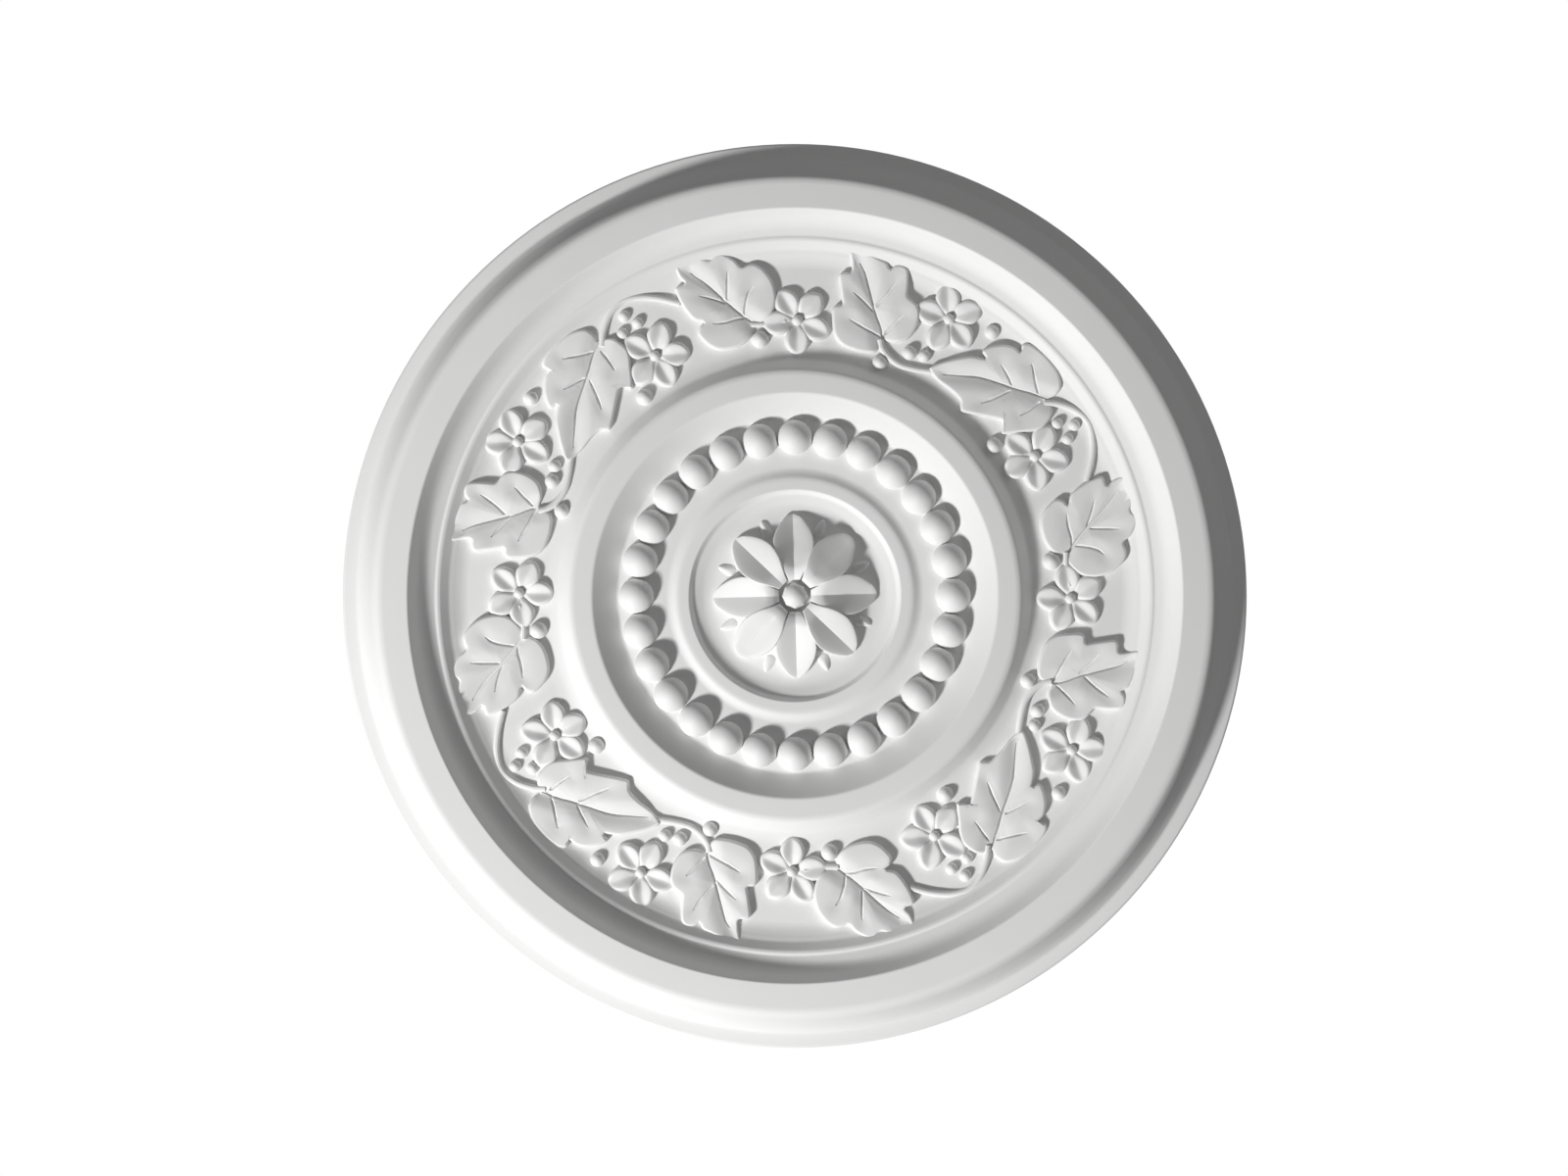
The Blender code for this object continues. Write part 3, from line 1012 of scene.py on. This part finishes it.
@dataclass
class CeilingRose:
    """The whole casting: the turned body with its frieze, beads and flower, dressed in primer.

    Args:
        body: the turned mouldings.
        frieze: the ring of leaves and blossoms.
        beads: the ring of balls.
        flower: the middle flower.
        finish: the coat.
        sharp_angle: degrees over which the shading breaks at an edge.
        normal_weight: how strongly large faces steer the shading.
    """

    body: TurnedBody = field(default_factory=TurnedBody)
    frieze: Frieze = field(default_factory=Frieze)
    beads: BeadRing = field(default_factory=BeadRing)
    flower: Flower = field(default_factory=Flower)
    finish: Primer = field(default_factory=Primer)
    sharp_angle: float = 34.0
    normal_weight: int = 60

    def join(self, obj: bpy.types.Object, shells: list, joining: Joining) -> bpy.types.Collection:
        """Add a Boolean with a set of closed shells.

        Args:
            obj: the object that is changed.
            shells: what is united with it or cut from it.
            joining: which of the two.

        Returns:
            The collection that holds the shells as objects.
        """
        collection = bpy.data.collections.new(joining.name.lower())
        bpy.context.scene.collection.children.link(collection)
        for shell in shells:
            shell.to_object("carving", collection)
        modifier = obj.modifiers.new(joining.name.lower(), "BOOLEAN")
        modifier.operation = joining.value
        modifier.operand_type = "COLLECTION"
        modifier.collection = collection
        modifier.solver = "MANIFOLD"
        return collection

    def build(self) -> bpy.types.Object:
        """Unite the body and its ornament, cut the veins, and keep the result as one plain mesh.

        Returns:
            The casting, with its shading split at the sharp edges only.
        """
        turns = [sector * 360 / SECTORS for sector in range(SECTORS)]
        ornament = [shell.turned(turn) for turn in turns for shell in self.frieze.shells()]
        ornament += self.beads.shells() + self.flower.shells()
        cutters = [shell.turned(turn) for turn in turns for shell in self.frieze.cutters()]
        rose = self.body.shell().to_object("rose_casting", bpy.context.scene.collection)
        used = [self.join(rose, ornament, Joining.UNITE), self.join(rose, cutters, Joining.CUT)]
        bpy.context.view_layer.update()
        depsgraph = bpy.context.evaluated_depsgraph_get()
        made = bpy.data.meshes.new_from_object(rose.evaluated_get(depsgraph))
        rose.modifiers.clear()
        rose.data = made
        for collection in used:
            for obj in list(collection.objects):
                bpy.data.objects.remove(obj)
            bpy.data.collections.remove(collection)
        made.shade_smooth()
        made.set_sharp_from_angle(angle=math.radians(self.sharp_angle))
        normals = rose.modifiers.new("even_shading", "WEIGHTED_NORMAL")
        normals.keep_sharp = True
        normals.weight = self.normal_weight
        made.calc_loop_triangles()
        log.info("casting: %d triangles, %d vertices", len(made.loop_triangles), len(made.vertices))
        return rose

    def dress(self, rose: bpy.types.Object) -> None:
        """Give the casting its finish and its place in the frame.

        Args:
            rose: the finished casting.
        """
        rose.data.materials.clear()
        rose.data.materials.append(self.finish.material())
        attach(rose, "root")
        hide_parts("ceiling_rose")
        log.info("casting dressed")


# ---------------------------------------------------------------- studio


@dataclass(frozen=True)
class Lamp:
    """A disk light that looks at the middle of the rose.

    Args:
        name: the light's name.
        power: its power in watts.
        size: its diameter in metres.
        clock: the clock angle from which it shines over the face.
        rise: its elevation over the face in degrees.
    """

    name: str
    power: float
    size: float
    clock: float
    rise: float


KEY = Lamp("key", power=93.0, size=0.40, clock=225.0, rise=34.0)
FILL = Lamp("fill", power=3.0, size=1.2, clock=45.0, rise=15.0)


@dataclass
class Studio:
    """Camera, lights, white surround and floor.

    Args:
        image: width and height of the picture in pixels.
        centre: the pixel at which the middle of the rose is seen.
        scale: millimetres on the face for one pixel.
        lens: focal length in millimetres.
        sensor: width of the sensor in millimetres.
        face_depth: how far under the ceiling the scale holds, in metres.
        reach: distance of the lights in metres.
        ambient: strength of the surround as light.
        top: strength of the light from above.
        top_angle: its softness, as the degrees that it fills.
        floor_half: half the floor's width in metres.
        floor_height: its height in metres.
        floor_tone: its colour.
        floor_roughness: how matt it is.
    """

    image: tuple = (1600, 1200)
    centre: tuple = (811.0, 608.0)
    scale: float = 0.65
    lens: float = 100.0
    sensor: float = 36.0
    face_depth: float = 0.008
    reach: float = 3.0
    ambient: float = 0.155
    top: float = 2.0
    top_angle: float = 15.0
    floor_half: float = 9.0
    floor_height: float = -3.2
    floor_tone: tuple = (0.82, 0.82, 0.82, 1.0)
    floor_roughness: float = 0.9

    def add_camera(self) -> None:
        """A long lens straight below the rose, framed as the photograph is."""
        data = bpy.data.cameras.new("camera")
        data.lens = self.lens
        data.sensor_width = self.sensor
        distance = self.lens / self.sensor * self.image[0] * self.scale * MM
        camera = bpy.data.objects.new("camera", data)
        right = (self.image[0] / 2 - self.centre[0]) * self.scale * MM
        up = (self.centre[1] - self.image[1] / 2) * self.scale * MM
        camera.location = (right, -up, -distance - self.face_depth)
        camera.rotation_euler = (math.pi, 0.0, 0.0)
        bpy.context.scene.collection.objects.link(camera)
        bpy.context.scene.camera = camera

    def add_lamp(self, lamp: Lamp) -> None:
        """Place a disk light.

        Args:
            lamp: what it is and where it shines from.
        """
        data = bpy.data.lights.new(lamp.name, "AREA")
        data.shape = "DISK"
        data.size = lamp.size
        data.energy = lamp.power
        light = bpy.data.objects.new(lamp.name, data)
        turn, lift = math.radians(lamp.clock), math.radians(lamp.rise)
        side, below = math.cos(lift) * self.reach, math.sin(lift) * self.reach
        light.location = (side * math.sin(turn), -side * math.cos(turn), -below)
        light.rotation_euler = Vector(light.location).to_track_quat("Z", "Y").to_euler()
        light.visible_camera = False
        bpy.context.scene.collection.objects.link(light)

    def add_top_light(self) -> None:
        """A soft light from above, for the back and the floor; the face is turned away from it."""
        data = bpy.data.lights.new("top", "SUN")
        data.energy = self.top
        data.angle = math.radians(self.top_angle)
        light = bpy.data.objects.new("top", data)
        light.location = (0.0, 0.0, self.reach)
        bpy.context.scene.collection.objects.link(light)

    def add_world(self) -> None:
        """A white surround: full white to the eye, and softer as light."""
        world = bpy.data.worlds.new("studio")
        world.use_nodes = True
        nodes, links = world.node_tree.nodes, world.node_tree.links
        background = nodes["Background"]
        background.inputs["Color"].default_value = (1.0, 1.0, 1.0, 1.0)
        path = nodes.new("ShaderNodeLightPath")
        strength = nodes.new("ShaderNodeMapRange")
        strength.inputs["To Min"].default_value = self.ambient
        strength.inputs["To Max"].default_value = 1.0
        links.new(path.outputs["Is Camera Ray"], strength.inputs["Value"])
        links.new(strength.outputs["Result"], background.inputs["Strength"])
        bpy.context.scene.world = world

    def add_floor(self) -> None:
        """A plain pale floor below the camera, which throws no light back at the face."""
        half = self.floor_half
        corners = [(-half, -half, 0.0), (half, -half, 0.0), (half, half, 0.0), (-half, half, 0.0)]
        mesh = bpy.data.meshes.new("floor")
        mesh.from_pydata(corners, [], [(0, 1, 2, 3)])
        floor = bpy.data.objects.new("floor", mesh)
        floor.location = (0.0, 0.0, self.floor_height)
        floor.visible_diffuse = False
        bpy.context.scene.collection.objects.link(floor)
        material = bpy.data.materials.new("floor_paper")
        material.use_nodes = True
        shader = material.node_tree.nodes["Principled BSDF"]
        shader.inputs["Base Color"].default_value = self.floor_tone
        shader.inputs["Roughness"].default_value = self.floor_roughness
        mesh.materials.append(material)

    def build(self) -> None:
        """Set up the floor, the camera, the key light, its weak fill, the top light and the surround."""
        bpy.context.scene.view_settings.view_transform = "Standard"
        self.add_floor()
        self.add_camera()
        self.add_lamp(KEY)
        self.add_lamp(FILL)
        self.add_top_light()
        self.add_world()
        log.info("studio ready")


def main() -> None:
    """Build the casting and the studio."""
    rose = CeilingRose()
    casting = rose.build()
    rose.dress(casting)
    Studio().build()


if __name__ == "__main__":
    main()
